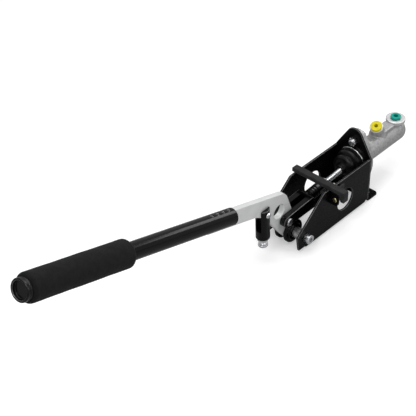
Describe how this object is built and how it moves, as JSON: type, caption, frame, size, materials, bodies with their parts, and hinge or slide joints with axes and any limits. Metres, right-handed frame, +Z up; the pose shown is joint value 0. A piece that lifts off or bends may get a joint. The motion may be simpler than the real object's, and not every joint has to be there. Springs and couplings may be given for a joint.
{
  "type": "parking brake lever",
  "caption": "Hydraulic hand brake: cranked plate lever with tube and foam grip, pivoted in a folded floor bracket, pushing a master cylinder.",
  "frame": {"origin": "on the floor, midway between the two slots of the bracket's rear foot", "axes": "+X from the handle towards the master cylinder, +Z up from the floor, +Y to the left plate"},
  "size_m": [0.6913, 0.0942, 0.2213],
  "materials": {
    "bracket_paint": "black satin powder coat",
    "gloss_black": "black gloss paint on steel",
    "disc_black": "black semi-gloss coat",
    "black_oxide": "black oxide on small screws",
    "zinc": "bright zinc plate",
    "yellow_zinc": "yellow passivated zinc",
    "blasted_steel": "bead-blasted and clear zinc plated steel plate",
    "cast_aluminium": "as-cast, fine shot-blasted grain",
    "turned_aluminium": "turned",
    "boot_rubber": "moulded black rubber",
    "bar_rubber": "matte dark grey rubber skin",
    "grip_foam": "matte closed-cell foam",
    "cap_black": "gloss black moulded plastic",
    "green_plastic": "teal green moulded plastic",
    "yellow_plastic": "yellow moulded plastic"
  },
  "bodies": {
    "bracket": {"left_side_plate": "bracket_paint", "right_side_plate": "bracket_paint", "end_plate": "bracket_paint", "bar_hinge_bracket": "bracket_paint", "bar_pin": "yellow_zinc", "pivot_bolt": "zinc", "pivot_nut": "zinc", "left_thrust_disc": "disc_black", "right_thrust_disc": "disc_black", "left_spacer_tube": "zinc", "right_spacer_tube": "zinc", "master_cylinder_body": "cast_aluminium", "reservoir_plug": "green_plastic", "outlet_plug": "yellow_plastic", "upper_flange_bolt": "zinc", "lower_flange_bolt": "zinc", "upper_flange_nut": "zinc", "lower_flange_nut": "zinc", "stop_washer": "zinc", "circlip": "zinc", "return_spring": "zinc", "dust_boot": "boot_rubber", "boot_clamp_ring": "zinc"},
    "lever": {"lever_plate": "blasted_steel", "handle_tube": "gloss_black", "foam_grip": "grip_foam", "grip_end_cap": "cap_black", "tube_set_screw_1": "black_oxide", "tube_set_screw_2": "black_oxide", "tube_set_screw_3": "black_oxide", "tube_set_screw_4": "black_oxide", "stop_rod": "gloss_black", "stop_rod_screw": "zinc", "stop_rod_nut": "zinc", "stop_screw": "zinc", "stop_screw_nut": "zinc"},
    "piston_set": {"piston": "turned_aluminium", "primary_cup": "boot_rubber", "secondary_cup": "boot_rubber"},
    "rod_set": {"clevis_fork": "gloss_black", "clevis_pin": "zinc", "clevis_clip": "zinc", "jam_nut": "zinc", "push_rod": "zinc"},
    "limit_bar": {"pull_limit_bar": "bar_rubber"}
  },
  "joints": [
    {"name": "lever_pull", "type": "hinge", "parent": "bracket", "child": "lever", "pos_m": [-0.147, 0, 0.0195], "axis": [0, 1, 0], "range_deg": [0, 40]},
    {"name": "piston_slide", "type": "slide", "parent": "bracket", "child": "piston_set", "axis": [1, 0, 0], "range_m": [0, 0.0205], "deforming": ["dust_boot", "return_spring"]},
    {"name": "rod_tilt", "type": "hinge", "parent": "piston_set", "child": "rod_set", "pos_m": [-0.0015, 0, 0.0555], "axis": [0, 1, 0], "range_deg": [0, 1.75]},
    {"name": "bar_swing", "type": "hinge", "parent": "bracket", "child": "limit_bar", "pos_m": [-0.09025, -0.0372, 0.0579], "axis": [1, 0, 0], "range_deg": [0, 95]}
  ],
  "couplings": [
    {"joint": "piston_slide", "follows": "lever_pull", "m_per_rad": 0.0292},
    {"joint": "rod_tilt", "follows": "lever_pull", "ratio": 0.0425}
  ]
}
